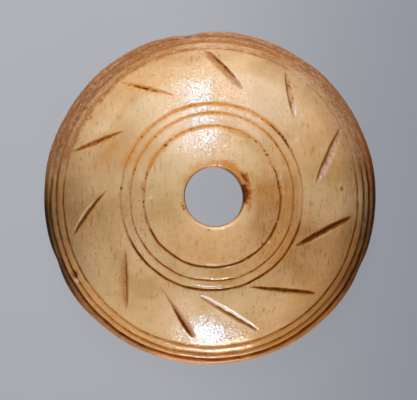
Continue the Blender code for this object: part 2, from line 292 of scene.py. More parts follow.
def discProfile():
    # radius and height of each row of the grid: up the bore, over the lip and the dome, round the
    # shoulder and the foot, and back under the disc. Rows lie close where something is cut.
    rim, side, foot = disc["rim"], disc["side"], disc["foot"]
    bore, lip, bevel = disc["bore"], disc["lip"], disc["bevel"]
    lipEdge = bore + lip
    lipTop = float(domeHeight(lipEdge))
    mouth = bore + disc["boreFlare"]
    shoulderEdge = rim - disc["shoulder"]
    sideTop = side - disc["shoulderDrop"]
    stops = [(lipEdge, weave["lipRows"])]
    for ring, reach, across, beyond in zip(rings, weave["ringReach"], weave["ringRows"], weave["gapRows"]):
        stops += [(ring["radius"] - reach, across), (ring["radius"] + reach, beyond)]
    stops.append((rimGrooves[0]["radius"] - weave["rimReach"], weave["rimRows"]))
    radii = []
    for (radius, rows), after in zip(stops, stops[1:] + [(shoulderEdge, 0)]):
        radii.append(np.linspace(radius, after[0], rows, endpoint=False))
    radii = np.concatenate(radii)
    parts = [
        straightRun((mouth + bevel, 0), (mouth, bevel), weave["bevelRows"]),
        straightRun((mouth, bevel), (bore, lipTop - lip), weave["boreRows"]),
        cornerBend((bore, lipTop - lip), (bore, lipTop), (lipEdge, lipTop), weave["lipBendRows"]),
        np.stack([radii, domeHeight(radii)], -1),
        cornerBend((shoulderEdge, float(domeHeight(shoulderEdge))), (rim, side), (rim, sideTop),
                   weave["shoulderRows"]),
        straightRun((rim, sideTop), (rim, foot), weave["sideRows"]),
        cornerBend((rim, foot), (rim, 0), (rim - foot, 0), weave["footRows"]),
        straightRun((rim - foot, 0), (mouth + bevel, 0), weave["underRows"]),
    ]
    return np.concatenate(parts)


def nickLine(nick, t):
    # a stroke in plan: the straight line between its ends, bowed by 4t(1-t)
    outTurn = math.radians(nick["bearing"])
    inTurn = math.radians(nick["bearing"] - nick["sweep"])
    outer = nick["outer"] * np.array([math.cos(outTurn), math.sin(outTurn)])
    inner = nick["inner"] * np.array([math.cos(inTurn), math.sin(inTurn)])
    along = (outer - inner) / np.linalg.norm(outer - inner)
    across = np.array([along[1], -along[0]])
    t = np.asarray(t)[..., None]
    return inner + (outer - inner) * t + across * nick["bow"] * 4 * t * (1 - t)


def gridBearings(radii):
    # columns run along the nicks where the band is, and crowd round each one
    lines = []
    for nick in nicks:
        track = nickLine(nick, np.linspace(0, 1, 60))
        reach = np.hypot(track[:, 0], track[:, 1])
        turn = np.degrees(np.unwrap(np.arctan2(track[:, 1], track[:, 0])))
        turn += 360 * round((nick["bearing"] - turn[-1]) / 360)
        lines.append(np.interp(radii - cutPull(nick["bearing"] - nick["sweep"] / 2), reach, turn))
    lines = np.array(lines)
    gaps = np.roll(lines, -1, axis=0) - lines
    gaps[-1] += 360
    near, field, half = weave["nickColumns"] // 2, weave["fieldColumns"], weave["nickHalf"]
    steps = np.arange(2 * near + field)
    bearings = []
    for line, gap in zip(lines, gaps):
        line, gap = line[:, None], gap[:, None]
        bearings.append(line + np.where(
            steps < near, half * steps / near,
            np.where(steps < near + field, half + (gap - 2 * half) * (steps - near) / field,
                     gap - half * (2 * near + field - steps) / near)))
    return np.concatenate(bearings, axis=1)


def handWorked(radii, heights, bearings):
    # the turned profile carried round, pulled oval and off centre; the top slides along the dome
    radii, heights = radii[:, None], heights[:, None]
    lastGroove = rimGrooves[-1]["radius"] + rimGrooves[-1]["width"] / 2
    spread = smoothStep(disc["bore"] + disc["lip"], rings[0]["radius"] - rings[0]["width"], radii)
    onTop = heights > disc["side"] - disc["shoulderDrop"]
    atRim = np.where(onTop, smoothStep(lastGroove, disc["rim"], radii), spread)
    pull = spread * (cutPull(bearings) * (1 - atRim) + rimPull(bearings) * atRim)
    turn = np.radians(bearings)
    reach = radii - pull
    x = reach * np.cos(turn) + disc["boreOff"][0] * (1 - spread)
    y = reach * np.sin(turn) + disc["boreOff"][1] * (1 - spread)
    follow = np.minimum(heights / disc["side"], 1)
    z = heights + (domeHeight(np.hypot(x, y)) - domeHeight(radii)) * follow
    return np.stack([x, y, z], -1)


def gridNormals(points):
    # the cross product of the two directions of the grid, pointing out of the bone
    around = np.roll(points, -1, axis=1) - np.roll(points, 1, axis=1)
    over = np.roll(points, -1, axis=0) - np.roll(points, 1, axis=0)
    normals = np.cross(over, around)
    return normals / np.linalg.norm(normals, axis=-1, keepdims=True)


def trench(across, sharp):
    # a cut's section, 1 at its middle and 0 from |across| = 1: a round hollow blended with a V
    side = np.clip(1 - np.abs(across), 0, 1)
    return (1 - sharp) * (side * (2 - side)) ** 1.5 + sharp * side ** 1.2


profile = discProfile()
bearings = gridBearings(profile[:, 0])
base = handWorked(profile[:, 0], profile[:, 1], bearings)
print("disc grid", base.shape[:2], "triangles", 2 * base.shape[0] * base.shape[1])

radiusMap = np.broadcast_to(profile[:, :1], bearings.shape)
heightMap = np.broadcast_to(profile[:, 1:], bearings.shape)
outwards = smoothStep(14.6, 16.0, radiusMap)
onDome = (heightMap > disc["side"]) & (radiusMap > disc["bore"] + disc["lip"] / 2)
side = ((heightMap <= disc["side"]) & (heightMap > 0.02) & (radiusMap > 10)).astype(float)
nowhere = 9.0  # so far off that no cut has any effect
# what is worked out at each point: lift along the normal in mm, dark dirt in the cuts with painted shade
# in the nicks and at the rim's left and right edge, orange-brown stain, scuffed bone with painted
# highlights on the nicks' lit walls and painted sheen, a redder cast, the matte pinkish brown of the worn
# rim, where stain dulls the polish, and the lightest bone with painted sheen and glow
lift, grimeAndShade, ochre, paleAndGlint, rust, weather, matte, fairBoneAndSheen = np.zeros((8, *bearings.shape))


def vary(spread, size, seed):
    # 1 with even mottling of that spread, which makes a width or a strength uneven
    return 1 + spread * ripple(base, size, seed)


def atLeast(mark, value):
    # raises a mark to this value wherever it is lower
    np.maximum(mark, value, out=mark)


def toneSum(patches):
    # patches of tone added up. Each has a level, which may gain on the rim; a bell (centre, half) or an arc
    # (start, end, fade) round the disc; and where it rises, falls or peaks (band) outwards, in mm
    total = np.zeros(bearings.shape)
    for patch in patches:
        area = swell(bearings, *patch["bell"]) if "bell" in patch else arcShare(bearings, *patch["arc"])
        if "rise" in patch:
            area = area * smoothStep(*patch["rise"], radiusMap)
        if "fall" in patch:
            area = area * (1 - smoothStep(*patch["fall"], radiusMap))
        if "band" in patch:
            area = area * hump(radiusMap, *patch["band"])
        total += (patch["level"] + patch.get("gain", 0) * outwards) * area
    return total


# polishing left the dome slightly uneven: (height, size, seed) of its waves in mm
domeWaves = [(0.018, 6.0, 3), (0.004, 1.4, 4)]
lift += sum(height * ripple(base, size, seed) for height, size, seed in domeWaves)

# how the rings are worn: arcs are (start, end, fade), and the innermost ring is frayed between two bearings
ringWear = {
    "wander": 0.018, "sharp": 0.45, "filled": (58, 150, 20), "fill": 0.66, "rubbed": (160, 202, 14),
    "rub": 0.65, "frayed": (4, 44), "frayShift": 0.10, "frayLoss": 0.45, "frayRough": 0.18,
    "frayDepth": 0.05, "beside": (1.5, 0.45), "sag": 0.030, "sagBand": (1.0, 0.7), "widthSpread": 0.08,
    "depthSpread": 0.14, "shoulderTurn": (271, 15), "shoulderRise": (-2.0, -0.9),
    "shoulderFall": (-0.9, -0.4), "fleckTurn": (25, 185, 10), "dullBand": (7.55, 0.35),
    "dullTurn": (64, 116, 14), "dullGap": (91, 101, 7),
}

# rings: grooves whose width, depth and track wander a little, filled and rubbed shallow at the top.
# dirt lies in the keel, stain fringes it, and the inner shoulder is worn round at the bottom
filled = arcShare(bearings, *ringWear["filled"])
for number, ring in enumerate(rings):
    wander = ringWear["wander"] * ripple(base, 2.6, 20 + number)
    if number == 0:
        wander = wander - ringWear["frayShift"] * arcShare(bearings, *ringWear["frayed"], 3)
    half = ring["width"] / 2 * vary(ringWear["widthSpread"], 1.6, 30 + number)
    across = np.where(onDome, (radiusMap - ring["radius"] - wander) / half, nowhere)
    strength = vary(ringWear["depthSpread"], 1.6, 40 + number) * (1 - ringWear["fill"] * filled)
    strength = strength * (1 - ringWear["rub"] * arcShare(bearings, *ringWear["rubbed"]))
    frayed = arcShare(bearings, *ringWear["frayed"], 4) * (number == 0)
    fray = ringWear["frayRough"] * ripple(base, 0.55, 44) - ringWear["frayLoss"]
    strength = strength * (1 + frayed * fray)
    beside = hump(across, *ringWear["beside"]) * frayed * np.clip(0.5 + ripple(base, 0.6, 45), 0, 1)
    lift -= ringWear["frayDepth"] * beside
    cut = trench(across, ringWear["sharp"])
    lift -= ring["depth"] * strength * cut
    lift -= np.where(cut > 0, 0, ringWear["sag"] * hump(np.abs(across), *ringWear["sagBand"]))
    shoulder = smoothStep(*ringWear["shoulderRise"], across)
    shoulder = shoulder * (1 - smoothStep(*ringWear["shoulderFall"], across))
    lift -= ring["shoulder"] * swell(bearings, *ringWear["shoulderTurn"]) * shoulder
    fromKeel = np.abs(radiusMap - ring["radius"] - wander) / ring["line"]
    core = np.where(onDome, np.exp(-fromKeel ** 2.5), 0)
    fringe = np.exp(-(np.abs(across) / (0.86 + 0.22 * filled)) ** 2.5)
    uneven = np.clip(vary(0.10, 3.0, 50 + number) + 0.07 * ripple(base, 0.5, 55 + number), 0, 1.15)
    uneven = uneven * (1 - 0.25 * frayed * smoothStep(0.4, -0.4, ripple(base, 0.45, 58)))
    flecks = np.clip(1.6 * ripple(base, 0.38, 60 + number) - 1.85, 0, 0.9)
    flecks = flecks * arcShare(bearings, *ringWear["fleckTurn"]) * (1 - 0.5 * filled)
    atLeast(grimeAndShade, core * np.maximum(uneven * arcLevel(bearings, ring["brown"]), flecks))
    atLeast(ochre, np.maximum(0.7 * beside, fringe * arcLevel(bearings, ring["ochre"])))
    rosy = core * arcLevel(bearings, ring["rose"])
    atLeast(weather, 0.7 * rosy)
    atLeast(rust, 1.1 * rosy)
    atLeast(matte, np.maximum(fringe * filled, 2.0 * rosy))
    atLeast(paleAndGlint, 0.6 * beside)

# the polish is duller between the first two rings at the top
between = hump(radiusMap, *ringWear["dullBand"]) * arcShare(bearings, *ringWear["dullTurn"])
between = between * (1 - 0.85 * arcShare(bearings, *ringWear["dullGap"]))
atLeast(matte, 0.75 * between * onDome)

# rim grooves: wide hollows that leave the beads round, worn away in two places
grooveWear = {"worn": [{"level": 0.95, "arc": (20, 60, 14)}, {"level": 0.75, "bell": (134, 34)}],
              "wander": 0.014, "spread": 0.12, "stainLoss": 0.6}
rimWorn = np.clip(toneSum(grooveWear["worn"]), 0, 1)
for number, groove in enumerate(rimGrooves):
    wander = grooveWear["wander"] * ripple(base, 2.5, 70 + number)
    across = np.where(onDome, radiusMap - groove["radius"] - wander, nowhere)
    hollow = 0.5 + 0.5 * np.cos(np.pi * np.clip(across / (groove["width"] / 2), -1, 1))
    lift -= groove["depth"] * (1 - rimWorn) * vary(grooveWear["spread"], 1.5, 80 + number) * hollow
    core = hump(across, 0, groove["line"]) * vary(grooveWear["spread"], 0.9, 90 + number)
    atLeast(grimeAndShade, core * arcLevel(bearings, groove["brown"]))
    fringe = hump(across, 0, 2 * groove["line"]) * (1 - grooveWear["stainLoss"] * rimWorn)
    atLeast(ochre, fringe * arcLevel(bearings, groove["ochre"]))

# what the nicks have in common: how sharp their V is, the lip raised beside them (mm), how far their edges
# wander (mm), and how softly their dirt and their light wall start and end along the stroke
nickCut = {"sharp": 0.75, "lip": 0.012, "wander": 0.010, "dirtAndShadeEase": (0.12, 0.10),
           "wallEase": (0.08, 0.12), "edge": (0.78, 0.42), "crumbStart": (0.15, 0.40)}


def spanShare(t, span, ease):
    # 1 between the ends of a span, easing in and out over them
    into = smoothStep(span[0] - ease[0], span[0] + ease[0], t)
    return into * (1 - smoothStep(span[1] - ease[1], span[1] + ease[1], t))


# nicks: strokes that narrow to points
for number, nick in enumerate(nicks):
    ends = nickLine(nick, [0.0, 1.0])
    length = np.linalg.norm(ends[1] - ends[0])
    along = (ends[1] - ends[0]) / length
    place = base[..., :2] - ends[0]
    t = place @ along / length
    away = place @ np.array([along[1], -along[0]]) - nick["bow"] * 4 * t * (1 - t)
    away = away + nickCut["wander"] * ripple(base, 0.9, 100 + number)
    inside = (t > -0.02) & (t < 1.02) & onDome
    warped = np.clip(t, 0, 1) ** (math.log(0.5) / math.log(nick["widest"]))
    taper = np.sin(math.pi * warped) ** nick["full"]
    half = nick["width"] / 2 * taper + 1e-4
    keel = nick["keel"]
    x = np.clip(away / half, -4, 4)
    x = np.where(x < keel, (x - keel) / (1 + keel), (x - keel) / (1 - keel))
    cut = np.where(inside, trench(x, nickCut["sharp"]), 0) * taper
    lift -= nick["depth"] * cut * vary(0.12, 0.5, 120 + number)
    lift += np.where(inside, nickCut["lip"] * taper * hump(np.abs(x), 1.15, 0.25), 0)
    blunt = np.clip(taper * 1.5, 0, 1)
    # the dark line along the keel: dirt, and painted shade on the wall turned away from the lamps
    fromKeel = np.abs(away - keel * half) / (nick["line"] * (0.35 + 0.65 * taper))
    core = np.where(inside, np.exp(-fromKeel ** 3.2), 0) * np.clip(taper * 1.6, 0, 1)
    core = core * spanShare(t, nick["dirtAndShadeRun"], nickCut["dirtAndShadeEase"])
    dotted = nick["dots"] * ripple(base, 0.34, 220 + number)
    uneven = 0.95 + 0.12 * ripple(base, 0.6, 140 + number) + dotted
    atLeast(grimeAndShade, nick["dirtAndShade"] * core * uneven)
    body = np.where(inside, np.exp(-(x / 0.95) ** 4), 0) * blunt
    crumbs = np.clip(1.5 * ripple(base, 0.34, 180 + number) - 0.5, 0, 1)
    crumbs = crumbs * smoothStep(*nickCut["crumbStart"], t)
    atLeast(grimeAndShade, 0.6 * nick["speckle"] * body * crumbs)
    atLeast(weather, nick["floor"] * body)
    atLeast(rust, nick["rust"] * body)
    # the light wall: clean bone and a painted highlight where the wall faces a lamp
    wallSide = x * (1 if nick["wall"] > 0 else -1)
    middle, reach = nick.get("edge", nickCut["edge"])
    wall = np.where(inside, np.exp(-((wallSide - middle) / reach) ** 4), 0) * blunt
    wall = abs(nick["wall"]) * spanShare(t, nick["wallRun"], nickCut["wallEase"]) * wall
    bare = 1 - 0.6 * np.clip(nick["speckle"] * 1.5 * (0.5 - ripple(base, 0.3, 200 + number)), 0, 1)
    atLeast(paleAndGlint, wall * bare)
    stain = np.where(inside, hump(x, 0, 1.25), 0) * taper * (1 - wall)
    atLeast(ochre, nick["ochre"] * stain)

# the worn rim, in tone and form: radii in mm, arcs as (start, end, fade) and bells as (centre, half)
wornRim = {
    "start": 14.70, "startLoss": 0.16, "startBell": (143, 20), "ease": (-0.20, 0.30),
    "rubbed": (14, 60, 14), "rubbedRise": (12.6, 15.7), "eroded": (132, 36), "waves": 0.018, "grit": 0.016,
    "tone": [{"level": 0.80, "arc": (14, 162, 14)}, {"level": 0.12, "bell": (34, 20)},
             {"level": -0.36, "gain": 0.18, "bell": (85, 16)},
             {"level": 0.28, "gain": 0.20, "arc": (300, 345, 18)}],
    "lighter": [{"level": 0.48, "arc": (20, 60, 10), "fall": (14.8, 16.2)}],
    "lighterBead": [{"level": 0.40, "arc": (74, 158, 8), "band": (15.18, 0.22)}],
    "bandStart": 14.75, "bandStep": 0.66, "stained": (208, 335, 16), "reddened": (206, 368, 10),
    # dirt on the outer edge, with painted shade at the left and right
    "edgeDirtAndShade": [{"level": 0.75, "bell": (192, 19)}, {"level": 0.75, "bell": (355, 28)},
                 {"level": 0.15, "bell": (216, 14)}],
}

# the worn rim: pinkish brown, crumbling at the upper left and rubbed smooth at the upper right
ragged = 0.07 * ripple(base, 1.2, 155) + 0.05 * ripple(base, 0.45, 156)
rimStart = wornRim["start"] - wornRim["startLoss"] * swell(bearings, *wornRim["startBell"]) + ragged
streaky = ripple(np.stack([bearings * 0.10, radiusMap * 1.6, 0 * bearings], -1), 0.5, 157)
rubbed = arcShare(bearings, *wornRim["rubbed"])
atRim = (1 - rubbed) * smoothStep(rimStart + wornRim["ease"][0], rimStart + wornRim["ease"][1], radiusMap)
atRim = (atRim + rubbed * smoothStep(*wornRim["rubbedRise"], radiusMap)) * onDome
eroded = np.maximum(swell(bearings, *wornRim["eroded"]), 0.35 * arcShare(bearings, 16, 62, 14))
eroded = eroded * np.maximum(atRim, side)
lift += eroded * (wornRim["waves"] * ripple(base, 0.8, 158) + wornRim["grit"] * ripple(base, 0.35, 160))
tone = 0.08 + toneSum(wornRim["tone"])
tone = tone * (1 - toneSum(wornRim["lighter"])) * (1 - toneSum(wornRim["lighterBead"]))
tone = tone * (1 + 0.08 * streaky)
atLeast(weather, tone * np.maximum(atRim, side))
bands = 0.5 + 0.5 * np.cos(2 * np.pi * (radiusMap - wornRim["bandStart"]) / wornRim["bandStep"])
bands = bands * np.clip(0.6 + 0.5 * ripple(base, 1.3, 161), 0, 1)
crumbling = hump(radiusMap, rimStart, 0.22) * swell(bearings, 142, 30) * onDome
crumbling = crumbling * np.clip(0.5 + 0.8 * ripple(base, 0.4, 162), 0, 1)
atLeast(grimeAndShade, np.maximum(0.20 * crumbling, 0.26 * bands * eroded))
stained = arcShare(bearings, *wornRim["stained"]) * np.maximum((0.5 + 0.3 * outwards) * atRim, side)
atLeast(ochre, 0.85 * stained)

# painted shade: darker towards the edge at the right, the left and the lower left
paintedRimShades = [
    {"level": 0.20, "gain": 0.42, "bell": (345, 28), "rise": (12.0, 15.0)},
    {"level": 0.14, "arc": (292, 330, 14), "rise": (14.3, 15.0)},
    {"level": 0.20, "gain": 0.12, "bell": (190, 24), "rise": (12.5, 14.8)},
    {"level": 0.55, "bell": (190, 16), "rise": (16.1, 16.25)},
    {"level": 0.44, "arc": (206, 246, 8), "rise": (16.12, 16.25)},
    {"level": 0.20, "arc": (277, 302, 8), "rise": (16.12, 16.25)},
    {"level": 0.13, "arc": (308, 364, 10), "rise": (13.4, 14.5)},
    {"level": 0.08, "arc": (178, 212, 8), "rise": (13.2, 14.4)},
    {"level": 0.12, "arc": (188, 212, 8), "rise": (15.0, 15.7)},
    {"level": 0.14, "arc": (330, 366, 10), "rise": (15.0, 15.7)},
]
onRim = onDome | (side > 0)
paintedRimShade = toneSum(paintedRimShades) * onRim * vary(0.05, 0.8, 164)
redder = 0.75 * hump(radiusMap, 16.09, 0.17) + 0.25 * smoothStep(16.1, 16.3, radiusMap)
atLeast(rust, redder * arcShare(bearings, *wornRim["reddened"]) * onRim)
# dirt on the side and the outer edge, with painted shade added at the left and right
edgeDirtAndShade = 0.18 + toneSum(wornRim["edgeDirtAndShade"])
atLeast(grimeAndShade, edgeDirtAndShade * np.maximum(side, onDome * smoothStep(16.25, 16.45, radiusMap)))

# a piece is missing from the outermost bead at the top
missing = {"turn": (94.8, 100.4, 0.7), "above": 0.9, "rise": (16.02, 16.2), "depth": 0.16, "paleAndGlint": 0.10}
chip = arcShare(bearings, *missing["turn"]) * (heightMap > missing["above"])
chip = chip * smoothStep(*missing["rise"], radiusMap) * vary(0.15, 0.5, 165)
lift -= missing["depth"] * chip
atLeast(paleAndGlint, missing["paleAndGlint"] * chip)

# spots
onTop = onDome | ((heightMap > 6) & (radiusMap < disc["bore"] + 1))
for kind, mark in (("grimeAndShade", grimeAndShade), ("ochre", ochre), ("paleAndGlint", paleAndGlint)):
    for bearing, reach, half, level, depth, long in spots[kind]:
        turn = math.radians(bearing)
        off = np.hypot(base[..., 0] - reach * math.cos(turn), (base[..., 1] - reach * math.sin(turn)) / long)
        bell = np.where(onTop, hump(off, 0, half), 0)
        lift -= depth * bell
        atLeast(mark, level * bell)
        if kind == "paleAndGlint":
            for dark in (grimeAndShade, ochre, paintedRimShade):
                dark *= 1 - bell

# stain round the bore as (level, start, end, fade) arcs, and the dirt on its lip: the crescent and the tail
# have (centre, half) round the disc and outwards from the bore in mm
boreLip = {
    "stain": [(1.0, -4, 66, 14), (0.75, 60, 92, 12), (0.58, 90, 152, 16)], "wide": 0.62, "ease": 0.25,
    "crescent": ((32, 12), (0.56, 0.20)), "tail": ((-16, 9), (0.66, 0.26)),
    "ledge": (0.90, 0.0157, 33), "ledgeTurn": (17, 35, 5), "deepTurn": (-8, 19, 9), "deepFall": (0.28, 1.05),
}


def lipPatch(turn, reach):
    # a bell both round the disc and outwards from the bore
    return hump(turnMap, *turn) * hump(boreReach, *reach)


# orange-brown stain round the upper and right lip of the bore, and dirt down the right of its wall
boreReach = radiusMap - disc["bore"]
turnMap = (bearings + 180) % 360 - 180
inBore = ((heightMap > 0.1) & (heightMap < domeHeight(disc["bore"] + disc["lip"]) - 0.2)
          & (radiusMap < disc["bore"] + 0.3))
lipWide = boreLip["wide"] + 0.25 * swell(bearings, 40, 40) + 0.13 * ripple(base, 0.7, 168)
onLip = (1 - smoothStep(lipWide - boreLip["ease"], lipWide + boreLip["ease"], boreReach)) * (heightMap > 0.1)
stainArc = arcLevel(bearings, boreLip["stain"])
atLeast(ochre, onLip * stainArc * (0.95 + 0.20 * ripple(base, 0.5, 170)))
atLeast(matte, 0.7 * onLip * stainArc)
crescent = lipPatch(*boreLip["crescent"])
tail = lipPatch(*boreLip["tail"])
edge, slope, middle = boreLip["ledge"]
ledge = hump(boreReach, edge - slope * (middle - turnMap), 0.09) * arcShare(bearings, *boreLip["ledgeTurn"])
deep = boreReach + 0.08 * ripple(base, 0.5, 172) + 0.010 * np.abs(turnMap - 8)
deep = (1 - smoothStep(*boreLip["deepFall"], deep)) * arcShare(bearings, *boreLip["deepTurn"])
fouled = np.maximum(np.maximum(0.92 * deep, 0.42 * tail), np.maximum(crescent, 0.75 * ledge))
fouled = fouled * np.clip(0.92 + 0.16 * ripple(base, 0.35, 171), 0, 1) * (heightMap > 3)
atLeast(grimeAndShade, fouled)
atLeast(ochre, 0.65 * tail * onTop)
atLeast(rust, (0.26 * onLip * arcShare(bearings, -16, 80, 14) + 0.60 * fouled) * onTop)
atLeast(grimeAndShade, 0.45 * inBore * (1 - 0.7 * arcShare(bearings, 15, 100, 15)))
atLeast(weather, 0.30 * inBore)

# broad painted shade with darker bone: the right and lower right, round the bore there, and towards the left
# edge
shadeAndDarkBonePatches = [
    {"level": 0.85, "bell": (332, 27), "rise": (3.4, 5.4), "fall": (8, 11)},
    {"level": 0.35, "bell": (12, 16), "rise": (3.4, 5.4), "fall": (8, 11)},
    {"level": 0.76, "bell": (334, 25), "rise": (8, 11)},
    {"level": 0.73, "bell": (190, 23), "rise": (9, 13.5)},
    {"level": 0.14, "arc": (172, 345, 18), "rise": (3.2, 4.4)},
    {"level": 0.12, "arc": (172, 345, 18), "band": (7.8, 1.2)},
    {"level": -0.06, "arc": (172, 345, 18), "rise": (9.3, 11.5)},
    {"level": 0.42, "bell": (332, 22), "band": (7.6, 1.3)},
]
shadeAndDarkBone = toneSum(shadeAndDarkBonePatches)
for kind, mark in (("ochre", ochre), ("shadeAndDarkBone", shadeAndDarkBone), ("fairBoneAndSheen", fairBoneAndSheen), ("paleAndGlint", paleAndGlint)):
    for turn, reach, level in blushes[kind]:
        area = spanShare(radiusMap, reach, (0.5, 0.5)) * swell(bearings, *turn) * onDome
        mark += level * area * (1 - mark if kind == "ochre" else 1)
shadeAndDarkBone = shadeAndDarkBone * onDome * vary(0.10, 4.0, 180)

# nothing rises under the foot
lift = np.where(base[..., 2] < 0.02, np.minimum(lift, 0) * 0.3, lift)

points = base + gridNormals(base) * lift[..., None]
points[..., 2] = np.maximum(points[..., 2], 0)
whorl = closedGrid("carvedWhorl", points, {
    "grimeAndShade": grimeAndShade, "ochre": ochre, "paleAndGlint": paleAndGlint, "weather": weather, "shadeAndDarkBone": shadeAndDarkBone,
    "paintedRimShade": paintedRimShade, "crumble": eroded, "matte": matte, "fairBoneAndSheen": fairBoneAndSheen, "rust": rust})
print("whorl made, faces:", len(whorl.data.polygons))


boneLook = {
    "ivory": (0.90, 0.59, 0.300, 1), "tan": (0.66, 0.365, 0.125, 1), "olive": (0.60, 0.385, 0.125, 1),
    "rose": (0.84, 0.48, 0.215, 1), "ochre": (0.76, 0.280, 0.034, 1), "brown": (0.32, 0.088, 0.003, 1),
    "dark": (0.075, 0.016, 0.001, 1), "paleAndGlint": (0.97, 0.85, 0.72, 1), "weather": (0.34, 0.130, 0.050, 1),
    "shadeAndDarkBone": (0.64, 0.48, 0.34, 1), "paintedRimShade": (0.20, 0.21, 0.21, 1), "rust": (0.86, 0.56, 0.56, 1),
}

# noises of the bone: waves per mm, octaves and how rough each is
boneNoise = {
    "crumb": (6.0, 2, 0.6), "blotch": (1.8, 3, 0.6), "flecks": (2.4, 3, 0.7), "cloud": (0.18, 3, 0.5),
    "olive": (0.45, 4, 0.6), "rose": (0.62, 4, 0.6), "fibre": (2.2, 4, 0.6), "dashes": (4.5, 2, 0.5),
    "dots": (4.2, 1, 0.5), "gloss": (2.5, 3, 0.5), "skin": (8.5, 1, 0.5), "waves": (6.0, 0, 0.5),
    "ridges": (3.0, 1, 0.6), "pits": (8.5, 2, 0.6),
}

# where the noises and the dirt with its painted shade start and end to show, and how strongly some of them
# do
boneStep = {
    "cloud": (0.35, 0.65), "olive": (0.52, 0.68), "rose": (0.48, 0.64), "fibre": (0.42, 0.72),
    "dashes": (0.60, 0.80), "dots": (0.70, 0.80), "skin": (0.40, 0.58), "pits": (0.55, 0.72),
    "dirtAndShade": (0.10, 0.62), "deepDirtAndShade": (0.60, 1.15),
}
boneShare = {"olive": 0.28, "rose": 0.55, "fibre": 0.22, "dashes": 0.60, "dots": 0.60, "stain": 0.90}

# heights of the fine relief in mm, how rough the clean and the dull bone are, and the stretch of the fibres
boneRelief = {"waves": 0.015, "ridges": 0.010, "pits": -0.036, "crumbs": -0.09}
boneRough = {"clean": 0.42, "dull": 0.8}
boneStretch = {"even": (1000, 1000, 1000), "grain": (1000, 170, 500)}

# what is the same all over, on the shader's own sockets
boneFinish = {
    "Coat Roughness": 0.15, "Coat IOR": 1.7, "IOR": 1.52,
    "Subsurface Weight": 0.35, "Subsurface Radius": (1.0, 0.55, 0.28), "Subsurface Scale": 0.0008,
    "Specular IOR Level": 0.10, "Specular Tint": (1.0, 0.90, 0.76, 1),
}


class Nodes:
    # short calls for a material's nodes

    def __init__(self, material):
        material.use_nodes = True
        self.tree = material.node_tree
        self.shader = self.tree.nodes["Principled BSDF"]
        self.colour = boneLook["ivory"]

    def add(self, kind, settings=None, **inputs):
        node = self.tree.nodes.new(kind)
        for name, value in (settings or {}).items():
            setattr(node, name, value)
        for name, value in inputs.items():
            self.feed(node.inputs[name.replace("_", " ")], value)
        return node

    def feed(self, socket, value):
        if isinstance(value, bpy.types.NodeSocket):
            self.tree.links.new(value, socket)
        else:
            socket.default_value = value

    def sum(self, kind, first, second=0.0, third=0.0, clamp=False):
        node = self.tree.nodes.new("ShaderNodeMath")
        node.operation = kind
        node.use_clamp = clamp
        for socket, value in zip(node.inputs, (first, second, third)):
            self.feed(socket, value)
        return node.outputs[0]

    def times(self, first, second):
        return self.sum("MULTIPLY", first, second)

    def plus(self, first, second):
        return self.sum("ADD", first, second)

    def sum3(self, kind, first, second=None):
        node = self.add("ShaderNodeVectorMath", {"operation": kind})
        self.feed(node.inputs[0], first)
        if second is not None:
            self.feed(node.inputs["Scale" if kind == "SCALE" else 1], second)
        return node.outputs["Value" if kind == "LENGTH" else "Vector"]

    def mix(self, share, first, second, blend="MIX"):
        node = self.tree.nodes.new("ShaderNodeMix")
        node.data_type = "RGBA"
        node.blend_type = blend
        self.feed(node.inputs[0], share)
        self.feed(node.inputs[6], first)
        self.feed(node.inputs[7], second)
        return node.outputs[2]

    def lay(self, share, tone, blend="MIX"):
        # one more tone over the colour so far
        self.colour = self.mix(share, self.colour, boneLook[tone], blend)

    def range(self, value, low, high, toLow=0.0, toHigh=1.0):
        node = self.add("ShaderNodeMapRange", Value=value)
        for name, number in (("From Min", low), ("From Max", high), ("To Min", toLow), ("To Max", toHigh)):
            node.inputs[name].default_value = number
        return node.outputs[0]

    def swing(self, value, spread):
        # a noise's middle range turned into minus spread to plus spread
        return self.range(value, 0.3, 0.7, -spread, spread)

    def noise(self, vector, name):
        scale, detail, roughness = boneNoise[name]
        node = self.add("ShaderNodeTexNoise", Vector=vector, Scale=scale, Detail=detail, Roughness=roughness)
        return node.outputs["Fac"]

    def mark(self, name):
        return self.add("ShaderNodeAttribute", {"attribute_name": name}).outputs["Fac"]


